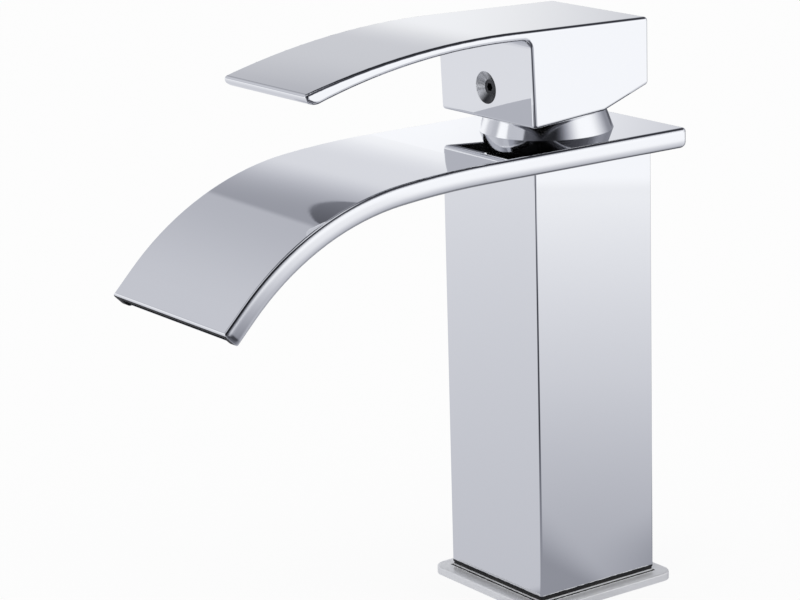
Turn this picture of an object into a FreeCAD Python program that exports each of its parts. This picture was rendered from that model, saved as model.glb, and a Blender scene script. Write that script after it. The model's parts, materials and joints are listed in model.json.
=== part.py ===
import FreeCAD, Part
import math
import os
import Sketcher

# A single-lever waterfall basin faucet: a square column on a base plate, a flat hollow spout
# that curves down at its front, and a block handle with a long flat lever above it.
#
# Millimetres. The origin is on the column's axis, in the deck face that the base plate rests
# on. +Z is up, the spout points towards -Y and +X is to the right of someone who stands in
# front of the spout and faces it. The lever is shown closed.

doc = FreeCAD.newDocument("WaterfallBasinFaucet")

SIZES = {
    # base plate, with the flat gasket under it and the one between it and the column
    "plate_width": 58.2,
    "plate_corner_radius": 5.0,
    "plate_thickness": 2.6,
    "plate_edge_radius": 0.5,
    "pad_height": 0.6,
    "column_gasket_thickness": 0.8,
    "column_gasket_inset": 0.2,
    "deck_gasket_width": 50.0,
    "deck_gasket_corner_radius": 3.0,
    "deck_gasket_thickness": 1.4,
    "spigot_radius": 16.8,
    "spigot_clearance": 0.2,
    "spigot_recess": 0.8,
    # column casting
    "column_width": 48.0,
    "column_height": 142.8,
    "column_wall": 2.8,
    "column_edge_radius": 0.7,
    "chamber_floor": 18.0,
    "chamber_corner_radius": 2.0,
    "cup_overlap": 0.3,
    "cup_floor": 6.0,
    "neck_radius": 19.2,
    "neck_rise": 2.5,
    "hole_clearance": 0.2,
    # water ways: two inlets at the front, the mixed outlet behind them
    "inlet_spacing": 14.0,
    "inlet_forward": 5.5,
    "inlet_radius": 3.5,
    "inlet_wall": 2.0,
    "outlet_back": 5.0,
    "outlet_radius": 3.8,
    "hose_port_radius": 4.5,
    "hose_port_depth": 13.0,
    # spout
    "spout_width": 63.8,
    "spout_thickness": 6.7,
    "spout_back": 32.6,
    "spout_flat_end": 48.3,
    "spout_first_radius": 329.0,
    "spout_first_angle": 5.7,
    "spout_main_radius": 94.7,
    "spout_tip_angle": 45.5,
    "spout_tail": 9.5,
    "spout_top_wall": 2.0,
    "spout_side_wall": 3.0,
    "spout_under_wall": 1.4,
    "spout_top_edge_radius": 1.2,
    "spout_low_edge_radius": 2.0,
    "spout_back_corner_radius": 1.6,
    "spout_under_setback": 0.6,
    "spout_under_bevel": 1.1,
    "braze_gap": 0.05,
    # cartridge
    "cartridge_radius": 17.5,
    "cartridge_clearance": 0.1,
    "cartridge_height": 40.0,
    "housing_wall": 1.5,
    "housing_cap": 2.8,
    "base_flange": 3.0,
    "base_upstand": 3.0,
    "foot_radius": 2.0,
    "foot_length": 3.0,
    "foot_spacing": 27.0,
    "foot_clearance": 0.1,
    "seal_height": 1.6,
    "seal_width": 1.5,
    "fixed_disc_radius": 14.8,
    "disc_thickness": 4.5,
    "moving_disc_radius": 12.0,
    "disc_offset": 3.1,
    "mixing_pocket_width": 16.0,
    "mixing_pocket_length": 11.0,
    "mixing_pocket_depth": 2.5,
    "mixing_pocket_corner_radius": 3.0,
    "carrier_radius": 12.5,
    "carrier_thickness": 6.0,
    "tongue_width": 12.0,
    "tongue_length": 18.0,
    "tongue_height": 2.2,
    "slide_clearance": 0.2,
    "rotor_clearance": 0.3,
    "turret_radius": 12.3,
    "turret_rise": 4.0,
    "rotor_slot_front": 9.5,
    "rotor_slot_back": 10.5,
    "rotor_seal_radius": 0.9,
    "rotor_seal_height": 6.5,
    "nut_height": 6.0,
    "nut_radius": 18.0,
    "nut_inner_radius": 13.0,
    "nut_notch_width": 4.0,
    "nut_notch_depth": 2.5,
    "nut_notch_reach": 3.0,
    # stem and its pivot pin
    "pivot_depth": 7.5,
    "pin_radius": 1.75,
    "pin_length": 30.0,
    "pin_running_clearance": 0.05,
    "pin_press_clearance": 0.01,
    "stem_width": 8.0,
    "stem_arm": 13.0,
    "stem_ball_radius": 3.0,
    "stem_shank_radius": 1.8,
    "stem_shank_length": 6.0,
    "stem_cone_height": 4.0,
    "stem_rise": 23.5,
    "ball_clearance": 0.2,
    "ball_mouth_rise": 2.0,
    "ball_mouth_radius": 5.5,
    # collar over the nut
    "collar_base_radius": 21.8,
    "collar_top_radius": 19.3,
    "collar_height": 6.8,
    "collar_crown": 1.5,
    "collar_wall": 1.7,
    "collar_mouth_radius": 14.0,
    "collar_edge_radius": 0.5,
    "collar_ring_radius": 0.5,
    "collar_ring_height": 1.4,
    "collar_clearance": 0.3,
    # handle: a hollow block with a thin curved lever running forward from its top
    "block_width": 48.4,
    "block_front": 23.8,
    "block_front_lean": 1.1,
    "block_back": 23.0,
    "block_front_gap": 5.9,
    "block_mid_gap": 8.0,
    "block_back_gap": 14.5,
    "block_mid": 4.5,
    "block_back_height": 36.1,
    "block_wall": 3.0,
    "block_roof": 4.0,
    "lever_top_angle": 1.4,
    "lever_bend_start": 29.0,
    "lever_top_radius": 280.0,
    "lever_tip_angle": 15.0,
    "lever_root_thickness": 3.1,
    "lever_tip_thickness": 4.4,
    "lever_under_radius": 222.0,
    "lever_tip_width": 45.0,
    "lever_nose_height": 1.7,
    "lever_nose_length": 4.5,
    "lever_nose_radius": 4.8,
    "lever_root_radius": 3.0,
    "handle_edge_radius": 1.2,
    "boss_gap": 14.5,
    "boss_wall": 3.4,
    "rib_gap": 12.0,
    "rib_width": 13.0,
    "socket_clearance": 0.1,
    # screw that holds the handle on the stem
    "screw_gap": 16.2,
    "screw_radius": 2.5,
    "screw_length": 18.6,
    "screw_clearance": 0.02,
    "screw_socket_flats": 2.5,
    "screw_socket_depth": 3.0,
    "recess_radius": 5.0,
    "recess_depth": 1.6,
    # clamp under the deck
    "deck_thickness": 20.0,
    "stud_radius": 3.0,
    "stud_spacing": 21.0,
    "stud_back": 8.0,
    "stud_grip": 12.0,
    "stud_below_deck": 50.0,
    "stud_clearance": 0.02,
    "washer_radius": 25.0,
    "washer_thickness": 3.0,
    "washer_gasket_thickness": 3.0,
    "washer_slot_width": 27.0,
    "washer_slot_end": 2.5,
    "washer_slot_corner_radius": 5.0,
    "washer_hole_clearance": 0.3,
    "stud_nut_flats": 10.0,
    "stud_nut_height": 5.0,
}

sheet = doc.addObject("Spreadsheet::Sheet", "Sizes")
for line, (alias, number) in enumerate(SIZES.items(), start=1):
    sheet.set(f"A{line}", alias)
    sheet.set(f"B{line}", str(number))
    sheet.setAlias(f"B{line}", alias)
doc.recompute()


class Length:
    """A length or an angle in degrees: its number, and the formula on the sheet behind it."""

    def __init__(self, value, text):
        self.value = value
        self.text = text

    def __add__(self, other):
        other = as_length(other)
        return Length(self.value + other.value, f"({self.text} + {other.text})")

    def __sub__(self, other):
        other = as_length(other)
        return Length(self.value - other.value, f"({self.text} - {other.text})")

    def __mul__(self, other):
        other = as_length(other)
        return Length(self.value * other.value, f"({self.text} * {other.text})")

    def __truediv__(self, other):
        other = as_length(other)
        return Length(self.value / other.value, f"({self.text} / {other.text})")

    def __neg__(self):
        return Length(-self.value, f"(0 - {self.text})")


def as_length(number):
    if isinstance(number, Length):
        return number
    return Length(float(number), str(float(number)))


def sine(angle):
    return Length(math.sin(math.radians(angle.value)), f"sin({angle.text})")


def cosine(angle):
    return Length(math.cos(math.radians(angle.value)), f"cos({angle.text})")


class Dimensions:
    """The sheet's sizes by name."""


d = Dimensions()
for alias, number in SIZES.items():
    setattr(d, alias, Length(number, f"Sizes.{alias}"))

ZERO = as_length(0)
# How far a cut or a weld runs past the face that it meets, and a cut that goes right through
PAST = as_length(1)
THROUGH = d.column_height * 3
# Two places this close together count as one when edges are picked out
NEAR = 0.01

# Heights that the pieces share, up from the deck face
PLATE_TOP = d.plate_thickness
PAD_TOP = PLATE_TOP + d.pad_height
COLUMN_FOOT = PAD_TOP + d.column_gasket_thickness
COLUMN_TOP = COLUMN_FOOT + d.column_height
SPOUT_TOP = COLUMN_TOP + d.spout_thickness
NECK_TOP = SPOUT_TOP + d.neck_rise
HOUSING_TOP = NECK_TOP - d.nut_height
SEAT = HOUSING_TOP - d.cartridge_height
CUP_BOTTOM = SEAT - d.cup_floor
CHAMBER_FLOOR = COLUMN_FOOT + d.chamber_floor
FIXED_DISC_FOOT = SEAT + d.base_flange + d.base_upstand
MOVING_DISC_FOOT = FIXED_DISC_FOOT + d.disc_thickness
CARRIER_FOOT = MOVING_DISC_FOOT + d.disc_thickness
TONGUE_FOOT = CARRIER_FOOT + d.carrier_thickness
TONGUE_TOP = TONGUE_FOOT + d.tongue_height
ROTOR_FOOT = TONGUE_FOOT + d.slide_clearance
ROTOR_SHOULDER = HOUSING_TOP - d.housing_cap - d.rotor_clearance
TURRET_TOP = HOUSING_TOP + d.turret_rise
PIVOT = HOUSING_TOP - d.pivot_depth
BALL = PIVOT - d.stem_arm
STEM_TOP = SPOUT_TOP + d.stem_rise
COLLAR_TOP = SPOUT_TOP + d.collar_height
SCREW_AXIS = SPOUT_TOP + d.screw_gap
GASKET_FOOT = -d.deck_thickness - d.washer_gasket_thickness
WASHER_FOOT = GASKET_FOOT - d.washer_thickness

# Radii and half widths that the pieces share
CHAMBER_HALF = d.column_width / 2 - d.column_wall
CUP_RADIUS = CHAMBER_HALF + d.cup_overlap
BORE_RADIUS = d.cartridge_radius + d.cartridge_clearance
HOUSING_INSIDE = d.cartridge_radius - d.housing_wall
ROTOR_RADIUS = HOUSING_INSIDE - d.rotor_clearance
SPIGOT_FOOT = d.spigot_recess
SPOUT_INSIDE = d.spout_width / 2 - d.spout_side_wall
STEM_HALF = d.stem_width / 2
COLLAR_BORE = d.neck_radius + d.collar_clearance
RING_CENTRE = COLLAR_BORE - d.collar_ring_radius


# ------------------------------------------------------------------ drawing and building

def bind(thing, name, length):
    """Ties a property of an object to the sheet."""
    thing.setExpression(name, as_length(length).text)


def hold(sketch, kind, *parts):
    """Adds a sketch dimension whose last part is a Length, and ties it to the sheet."""
    length = as_length(parts[-1])
    index = sketch.addConstraint(Sketcher.Constraint(kind, *parts[:-1], length.value))
    sketch.setExpression(f"Constraints[{index}]", length.text)


def hold_point(sketch, geometry, end, point):
    hold(sketch, "DistanceX", geometry, end, point[0])
    hold(sketch, "DistanceY", geometry, end, point[1])


def vector(point):
    return FreeCAD.Vector(point[0].value, point[1].value, 0)


def lengths(points):
    return [(as_length(u), as_length(v)) for u, v in points]


def arc_between(start, end, radius, side):
    """An arc from start to end; side is +1 where it bulges to the left of the way it goes."""
    a = vector(start)
    b = vector(end)
    along = b - a
    half = along.Length / 2
    left = FreeCAD.Vector(-along.y, along.x, 0).normalize()
    reach = math.sqrt(radius.value ** 2 - half ** 2)
    centre = (a + b) * 0.5 - left * (reach * side)
    middle = centre + left * (radius.value * side)
    return Part.Arc(a, middle, b)


def draw_outline(sketch, points, bends=None):
    """Draws a closed outline. bends gives (radius, side) for each edge that is an arc."""
    points = lengths(points)
    bends = bends or {}
    count = len(points)
    ends = []
    for index, start in enumerate(points):
        end = points[(index + 1) % count]
        if index in bends:
            radius, side = bends[index]
            arc = arc_between(start, end, radius, side)
            edge = sketch.addGeometry(arc, False)
            turns_left = side < 0
            ends.append((edge, 1, 2) if turns_left else (edge, 2, 1))
            hold(sketch, "Radius", edge, radius)
        else:
            edge = sketch.addGeometry(Part.LineSegment(vector(start), vector(end)), False)
            ends.append((edge, 1, 2))
    for index, point in enumerate(points):
        before = ends[index - 1]
        after = ends[index]
        meet = Sketcher.Constraint("Coincident", before[0], before[2], after[0], after[1])
        sketch.addConstraint(meet)
        hold_point(sketch, after[0], after[1], point)


def draw_rectangle(sketch, left, right, low, high):
    draw_outline(sketch, [(left, low), (right, low), (right, high), (left, high)])


def draw_rounded(sketch, left, right, low, high, radius):
    """A rectangle with round corners."""
    left, right, low, high = [as_length(value) for value in (left, right, low, high)]
    points = [
        (left + radius, low), (right - radius, low),
        (right, low + radius), (right, high - radius),
        (right - radius, high), (left + radius, high),
        (left, high - radius), (left, low + radius),
    ]
    draw_outline(sketch, points, {corner: (radius, -1) for corner in (1, 3, 5, 7)})


def draw_square(sketch, width, radius):
    half = width / 2
    draw_rounded(sketch, -half, half, -half, half, radius)


def draw_circle(sketch, across, up, radius):
    centre = lengths([(across, up)])[0]
    radius = as_length(radius)
    circle = Part.Circle(vector(centre), FreeCAD.Vector(0, 0, 1), radius.value)
    edge = sketch.addGeometry(circle, False)
    hold(sketch, "Radius", edge, radius)
    hold_point(sketch, edge, 3, centre)


def draw_hexagon(sketch, across, up, flats):
    """A hexagon with two of its corners on the across axis."""
    across = as_length(across)
    up = as_length(up)
    side = flats / math.sqrt(3)
    corners = [(1, 0), (0.5, 0.5), (-0.5, 0.5), (-1, 0), (-0.5, -0.5), (0.5, -0.5)]
    draw_outline(sketch, [(across + side * u, up + flats * v) for u, v in corners])


class Piece:
    """One sub-part, built feature by feature in a body of its own."""

    def __init__(self, name):
        self.body = doc.addObject("PartDesign::Body", name)
        self.body.Label = name
        self.body.Placement = FreeCAD.Placement()
        self.count = 0
        pieces.append(self.body)

    def origin(self, role):
        return next(item for item in self.body.Origin.OriginFeatures if item.Role == role)

    def add(self, kind):
        self.count += 1
        short = kind.split("::")[1]
        return self.body.newObject(kind, f"{self.body.Name}_{short}_{self.count}")

    def sketch(self, plane, offset=ZERO):
        """A sketch on one of the body's own planes, offset along the plane's normal."""
        drawing = self.add("Sketcher::SketchObject")
        drawing.AttachmentSupport = [(self.origin(plane), "")]
        drawing.MapMode = "FlatFace"
        bind(drawing, "AttachmentOffset.Base.z", offset)
        return drawing

    def level(self, height):
        """A sketch that lies flat at a height."""
        return self.sketch("XY_Plane", height)

    def volume(self):
        doc.recompute()
        shape = self.body.Shape
        return 0.0 if shape.isNull() else shape.Volume

    def raise_from(self, drawing, height):
        """Adds material from the drawing along its plane's normal."""
        before = self.volume()
        feature = self.add("PartDesign::Pad")
        feature.Profile = drawing
        bind(feature, "Length", height)
        check_change(self, before, 1)
        return feature

    def cut_from(self, drawing, depth, forward=False):
        """Takes material away behind the drawing, or in front of it."""
        before = self.volume()
        feature = self.add("PartDesign::Pocket")
        feature.Profile = drawing
        feature.Reversed = forward
        bind(feature, "Length", depth)
        check_change(self, before, -1)
        return feature

    def spin(self, outline):
        """Turns an outline of (radius, height) points about the vertical axis."""
        drawing = self.sketch("XZ_Plane")
        draw_outline(drawing, outline)
        feature = self.add("PartDesign::Revolution")
        feature.Profile = drawing
        feature.ReferenceAxis = (drawing, ["V_Axis"])
        feature.Angle = 360
        check_change(self, 0.0, 1)
        return feature

    def sweep(self, drawing, path, kind="PartDesign::AdditivePipe"):
        """Adds, or takes away, what the drawing passes through along the path."""
        before = self.volume()
        feature = self.add(kind)
        feature.Profile = drawing
        feature.Spine = path
        check_change(self, before, 1 if "Additive" in kind else -1)
        return feature

    def dress_edges(self, kind, size, choose):
        """Gives a fillet or a chamfer to the edges that choose picks out of the shape so far."""
        doc.recompute()
        shape = self.body.Shape
        names = [f"Edge{i}" for i, edge in enumerate(shape.Edges, start=1) if choose(edge)]
        if not names:
            raise RuntimeError(f"{self.body.Label}: no edge for the {kind}")
        base = self.body.Tip
        feature = self.add(f"PartDesign::{kind}")
        feature.Base = (base, names)
        bind(feature, "Radius" if kind == "Fillet" else "Size", size)
        check_change(self, shape.Volume, 0)
        return feature

    def round_edges(self, radius, choose):
        return self.dress_edges("Fillet", radius, choose)

    def bevel_edges(self, size, choose):
        return self.dress_edges("Chamfer", size, choose)


def check_change(piece, before, sign):
    """Stops the build where a feature failed or changed the volume the wrong way."""
    after = piece.volume()
    change = after - before
    failed = "Invalid" in piece.body.Tip.State or piece.body.Shape.isNull()
    if failed or change * sign < 0 or abs(change) < 1e-4:
        raise RuntimeError(f"{piece.body.Label}: {piece.body.Tip.Name} changed {change:.4f} mm3")
    if not piece.body.Shape.isValid():
        raise RuntimeError(f"{piece.body.Label}: {piece.body.Tip.Name} left a broken shape")


def at_height(edge, height):
    ends = edge.BoundBox
    return ends.ZLength < 1e-4 and abs(ends.ZMin - height.value) < 1e-4


pieces = []


# ------------------------------------------------------------------ base plate and gaskets

def make_base_plate():
    """Square cover plate, with a raised pad under the column and a recess for its gasket."""
    plate = Piece("base_plate")
    drawing = plate.level(ZERO)
    draw_square(drawing, d.plate_width, d.plate_corner_radius)
    plate.raise_from(drawing, PLATE_TOP)
    plate.round_edges(d.plate_edge_radius, lambda edge: at_height(edge, PLATE_TOP))
    drawing = plate.level(ZERO)
    draw_square(drawing, d.column_width, d.column_edge_radius)
    plate.raise_from(drawing, PAD_TOP)
    drawing = plate.level(d.deck_gasket_thickness)
    draw_square(drawing, d.deck_gasket_width, d.deck_gasket_corner_radius)
    plate.cut_from(drawing, THROUGH)
    drawing = plate.level(PAD_TOP)
    draw_circle(drawing, 0, 0, d.spigot_radius + d.spigot_clearance)
    plate.cut_from(drawing, THROUGH)


def make_deck_gasket():
    """Flat rubber gasket in the plate's underside, level with its rim."""
    gasket = Piece("deck_gasket")
    drawing = gasket.level(ZERO)
    draw_square(drawing, d.deck_gasket_width, d.deck_gasket_corner_radius)
    draw_circle(drawing, 0, 0, d.spigot_radius + d.spigot_clearance)
    gasket.raise_from(drawing, d.deck_gasket_thickness)


def make_column_gasket():
    """Thin rubber gasket between the plate's pad and the column."""
    gasket = Piece("column_gasket")
    drawing = gasket.level(PAD_TOP)
    draw_square(drawing, d.column_width - d.column_gasket_inset * 2, d.column_edge_radius)
    draw_circle(drawing, 0, 0, d.spigot_radius + d.spigot_clearance)
    gasket.raise_from(drawing, d.column_gasket_thickness)


# ------------------------------------------------------------------ column

def draw_inlets(drawing, radius):
    for side in (-1, 1):
        draw_circle(drawing, d.inlet_spacing / 2 * side, -d.inlet_forward, radius)


def draw_studs(drawing, radius):
    for side in (-1, 1):
        draw_circle(drawing, d.stud_spacing / 2 * side, d.stud_back, radius)


def draw_feet(drawing, radius):
    for side in (-1, 1):
        draw_circle(drawing, d.foot_spacing / 2 * side, d.outlet_back, radius)


def make_column():
    """Hollow square casting. A round cup inside its top holds the cartridge, two tubes lead
    up to the cup from the hose ports, and the mixed water rises in the chamber round them."""
    column = Piece("body_column")
    drawing = column.level(COLUMN_FOOT)
    draw_square(drawing, d.column_width, d.column_edge_radius)
    column.raise_from(drawing, d.column_height)
    drawing = column.level(COLUMN_TOP)
    draw_square(drawing, CHAMBER_HALF * 2, d.chamber_corner_radius)
    column.cut_from(drawing, COLUMN_TOP - CHAMBER_FLOOR)
    drawing = column.level(SPIGOT_FOOT)
    draw_circle(drawing, 0, 0, d.spigot_radius)
    column.raise_from(drawing, CHAMBER_FLOOR - SPIGOT_FOOT)
    drawing = column.level(CUP_BOTTOM)
    draw_circle(drawing, 0, 0, CUP_RADIUS)
    column.raise_from(drawing, COLUMN_TOP - CUP_BOTTOM)
    drawing = column.level(CUP_BOTTOM)
    draw_circle(drawing, 0, 0, d.neck_radius)
    column.raise_from(drawing, NECK_TOP - CUP_BOTTOM)
    drawing = column.level(CHAMBER_FLOOR)
    draw_inlets(drawing, d.inlet_radius + d.inlet_wall)
    column.raise_from(drawing, CUP_BOTTOM - CHAMBER_FLOOR)
    drawing = column.level(NECK_TOP)
    draw_circle(drawing, 0, 0, BORE_RADIUS)
    column.cut_from(drawing, NECK_TOP - SEAT)
    drawing = column.level(NECK_TOP)
    draw_circle(drawing, 0, 0, d.nut_radius)
    column.cut_from(drawing, d.nut_height)
    drawing = column.level(SEAT)
    draw_inlets(drawing, d.inlet_radius)
    column.cut_from(drawing, THROUGH)
    drawing = column.level(SEAT)
    draw_circle(drawing, 0, d.outlet_back, d.outlet_radius)
    column.cut_from(drawing, d.cup_floor)
    drawing = column.level(SEAT)
    draw_feet(drawing, d.foot_radius + d.foot_clearance)
    column.cut_from(drawing, d.foot_length + d.foot_clearance)
    drawing = column.level(SPIGOT_FOOT)
    draw_inlets(drawing, d.hose_port_radius)
    column.cut_from(drawing, d.hose_port_depth, forward=True)
    drawing = column.level(SPIGOT_FOOT)
    draw_studs(drawing, d.stud_radius + d.stud_clearance)
    column.cut_from(drawing, d.stud_grip, forward=True)
    groove = column.level(SPOUT_TOP + d.collar_ring_height + d.collar_ring_radius)
    draw_circle(groove, 0, 0, d.neck_radius + PAST)
    draw_circle(groove, 0, 0, RING_CENTRE - d.collar_ring_radius)
    column.cut_from(groove, d.collar_ring_radius * 2)


# ------------------------------------------------------------------ spout

def path_corners(back, tail):
    """Points (y, z) where the line of the spout's top changes, from its back to its tip."""
    first = d.spout_first_angle
    tip = d.spout_tip_angle
    flat_end = (-d.spout_flat_end, SPOUT_TOP)
    first_end = (
        flat_end[0] - d.spout_first_radius * sine(first),
        flat_end[1] - d.spout_first_radius * (as_length(1) - cosine(first)),
    )
    main_end = (
        first_end[0] - d.spout_main_radius * (sine(tip) - sine(first)),
        first_end[1] - d.spout_main_radius * (cosine(first) - cosine(tip)),
    )
    tail_end = (main_end[0] - tail * cosine(tip), main_end[1] - tail * sine(tip))
    return [(back, SPOUT_TOP), flat_end, first_end, main_end, tail_end]


def draw_spout_path(drawing, back, tail):
    """Draws the line of the spout's top: straight, a slight bend, the main bend, straight."""
    points = path_corners(back, tail)
    radii = [None, d.spout_first_radius, d.spout_main_radius, None]
    ends = []
    for start, end, radius in zip(points[:-1], points[1:], radii):
        if radius is None:
            run = Part.LineSegment(vector(start), vector(end))
            ends.append((drawing.addGeometry(run, False), 1, 2))
        else:
            edge = drawing.addGeometry(arc_between(start, end, radius, -1), False)
            hold(drawing, "Radius", edge, radius)
            ends.append((edge, 1, 2))
    hold_point(drawing, ends[0][0], ends[0][1], points[0])
    for before, after, point in zip(ends[:-1], ends[1:], points[1:-1]):
        meet = Sketcher.Constraint("Coincident", before[0], before[2], after[0], after[1])
        drawing.addConstraint(meet)
        hold_point(drawing, after[0], after[1], point)
    hold_point(drawing, ends[-1][0], ends[-1][2], points[-1])


def make_spout_shell():
    """Top, sides and back of the spout in one shell, open underneath and at its tip."""
    shell = Piece("spout_shell")
    half = d.spout_width / 2
    section = shell.sketch("XZ_Plane", -d.spout_back)
    draw_rectangle(section, -half, half, COLUMN_TOP, SPOUT_TOP)
    path = shell.sketch("YZ_Plane")
    draw_spout_path(path, d.spout_back, d.spout_tail)
    shell.sweep(section, path)
    corner = d.spout_back_corner_radius
    for side in (-1, 1):
        drawing = shell.level(SPOUT_TOP)
        outline = [
            (half * side, d.spout_back - corner), (half * side, d.spout_back),
            ((half - corner) * side, d.spout_back),
        ]
        draw_outline(drawing, outline, {2: (corner, side)})
        shell.cut_from(drawing, THROUGH)
    round_spout(shell, path.Shape)
    inner_back = d.spout_back - d.spout_side_wall
    channel = shell.sketch("XZ_Plane", -inner_back)
    ceiling = SPOUT_TOP - d.spout_top_wall
    draw_rectangle(channel, -SPOUT_INSIDE, SPOUT_INSIDE, COLUMN_TOP - PAST, ceiling)
    path = shell.sketch("YZ_Plane")
    draw_spout_path(path, inner_back, d.spout_tail * 2)
    shell.sweep(channel, path, "PartDesign::SubtractivePipe")
    drawing = shell.level(SPOUT_TOP)
    draw_circle(drawing, 0, 0, d.neck_radius + d.hole_clearance)
    shell.cut_from(drawing, d.spout_top_wall)


def round_spout(shell, line):
    """Rounds the outer edges: lightly at the top and the tip's lip, more along the foot."""
    half = d.spout_width.value / 2
    corner = d.spout_back.value - d.spout_back_corner_radius.value
    tip = path_corners(d.spout_back, d.spout_tail)[-1][0].value

    def ends(edge):
        return [edge.valueAt(edge.FirstParameter), edge.valueAt(edge.LastParameter)]

    def outer(edge):
        """True for an edge along the sides or round the back, at any height."""
        return all(abs(end.x) > half - NEAR or end.y > corner - NEAR for end in ends(edge))

    def under(edge, depth):
        """True where both ends lie that far from the line of the spout's top."""
        sideways = [Part.Vertex(0, end.y, end.z) for end in ends(edge)]
        return all(abs(line.distToShape(end)[0] - depth) < NEAR for end in sideways)

    def lip(edge):
        """True for the upper edge across the tip."""
        return edge.BoundBox.XLength > half and all(abs(end.y - tip) < NEAR for end in ends(edge))

    foot = d.spout_thickness.value
    shell.round_edges(d.spout_low_edge_radius, lambda edge: outer(edge) and under(edge, foot))
    shell.round_edges(
        d.spout_top_edge_radius, lambda edge: (outer(edge) or lip(edge)) and under(edge, 0)
    )


def make_spout_under_plate():
    """Plate that closes the spout from below; its window lets the water in from the column."""
    plate = Piece("spout_under_plate")
    half = SPOUT_INSIDE - d.braze_gap
    back = d.spout_back - d.spout_side_wall - d.braze_gap
    section = plate.sketch("XZ_Plane", -back)
    draw_rectangle(section, -half, half, COLUMN_TOP, COLUMN_TOP + d.spout_under_wall)
    path = plate.sketch("YZ_Plane")
    draw_spout_path(path, back, d.spout_tail - d.spout_under_setback)
    plate.sweep(section, path)
    plate.bevel_edges(d.spout_under_bevel, lambda edge: lowest_across(edge, plate, half))
    drawing = plate.level(COLUMN_TOP)
    draw_square(drawing, CHAMBER_HALF * 2, d.chamber_corner_radius)
    plate.cut_from(drawing, d.spout_under_wall, forward=True)


def lowest_across(edge, piece, half):
    """True for the edge across the tip's foot, which is the lowest of the piece."""
    ends = edge.BoundBox
    lowest = piece.body.Shape.BoundBox.ZMin
    return ends.XLength > half.value and abs(ends.ZMax - lowest) < NEAR


# ------------------------------------------------------------------ cartridge

def make_cartridge_base():
    """Foot of the cartridge: three water ways, a recess for each seal, and two locating feet."""
    base = Piece("cartridge_base")
    drawing = base.level(SEAT)
    draw_circle(drawing, 0, 0, d.cartridge_radius)
    base.raise_from(drawing, d.base_flange)
    drawing = base.level(SEAT + d.base_flange)
    draw_circle(drawing, 0, 0, HOUSING_INSIDE - d.cartridge_clearance)
    base.raise_from(drawing, d.base_upstand)
    drawing = base.level(SEAT - d.foot_length)
    draw_feet(drawing, d.foot_radius)
    base.raise_from(drawing, d.foot_length + d.base_flange)
    drawing = base.level(FIXED_DISC_FOOT)
    draw_inlets(drawing, d.inlet_radius)
    draw_circle(drawing, 0, d.outlet_back, d.outlet_radius)
    base.cut_from(drawing, THROUGH)
    drawing = base.level(SEAT)
    draw_inlets(drawing, d.inlet_radius + d.seal_width)
    draw_circle(drawing, 0, d.outlet_back, d.outlet_radius + d.seal_width)
    base.cut_from(drawing, d.seal_height, forward=True)


def make_port_seals():
    """Three rubber rings between the cartridge's foot and its seat."""
    seals = Piece("port_seals")
    drawing = seals.level(SEAT)
    draw_inlets(drawing, d.inlet_radius + d.seal_width)
    draw_circle(drawing, 0, d.outlet_back, d.outlet_radius + d.seal_width)
    seals.raise_from(drawing, d.seal_height)
    drawing = seals.level(SEAT)
    draw_inlets(drawing, d.inlet_radius)
    draw_circle(drawing, 0, d.outlet_back, d.outlet_radius)
    seals.cut_from(drawing, d.seal_height, forward=True)


def make_cartridge_housing():
    housing = Piece("cartridge_housing")
    foot = SEAT + d.base_flange
    cap = HOUSING_TOP - d.housing_cap
    opening = d.turret_radius + d.rotor_clearance
    housing.spin([
        (HOUSING_INSIDE, foot), (d.cartridge_radius, foot), (d.cartridge_radius, HOUSING_TOP),
        (opening, HOUSING_TOP), (opening, cap), (HOUSING_INSIDE, cap),
    ])


def make_fixed_disc():
    disc = Piece("fixed_ceramic_disc")
    drawing = disc.level(FIXED_DISC_FOOT)
    draw_circle(drawing, 0, 0, d.fixed_disc_radius)
    draw_inlets(drawing, d.inlet_radius)
    draw_circle(drawing, 0, d.outlet_back, d.outlet_radius)
    disc.raise_from(drawing, d.disc_thickness)


def make_moving_disc():
    """The disc that slides on the fixed one; the pocket in its face joins the water ways."""
    disc = Piece("moving_ceramic_disc")
    drawing = disc.level(MOVING_DISC_FOOT)
    draw_circle(drawing, 0, d.disc_offset, d.moving_disc_radius)
    disc.raise_from(drawing, d.disc_thickness)
    drawing = disc.level(MOVING_DISC_FOOT)
    half = d.mixing_pocket_width / 2
    middle = d.outlet_back
    reach = d.mixing_pocket_length / 2
    corner = d.mixing_pocket_corner_radius
    draw_rounded(drawing, -half, half, middle - reach, middle + reach, corner)
    disc.cut_from(drawing, d.mixing_pocket_depth, forward=True)


def make_disc_carrier():
    """Carries the moving disc. The stem's ball pushes it, and its tongue slides in the rotor."""
    carrier = Piece("disc_carrier")
    drawing = carrier.level(CARRIER_FOOT)
    draw_circle(drawing, 0, d.disc_offset, d.carrier_radius)
    carrier.raise_from(drawing, d.carrier_thickness)
    drawing = carrier.level(TONGUE_FOOT)
    half = d.tongue_width / 2
    reach = d.tongue_length / 2
    draw_rectangle(drawing, -half, half, d.disc_offset - reach, d.disc_offset + reach)
    carrier.raise_from(drawing, d.tongue_height)
    drawing = carrier.level(TONGUE_TOP)
    draw_circle(drawing, 0, 0, d.ball_mouth_radius)
    mouth = BALL + d.ball_mouth_rise
    socket = d.stem_ball_radius + d.ball_clearance
    carrier.cut_from(drawing, TONGUE_TOP - mouth)
    drawing = carrier.level(mouth)
    draw_circle(drawing, 0, 0, socket)
    carrier.cut_from(drawing, mouth - BALL + socket)


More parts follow.
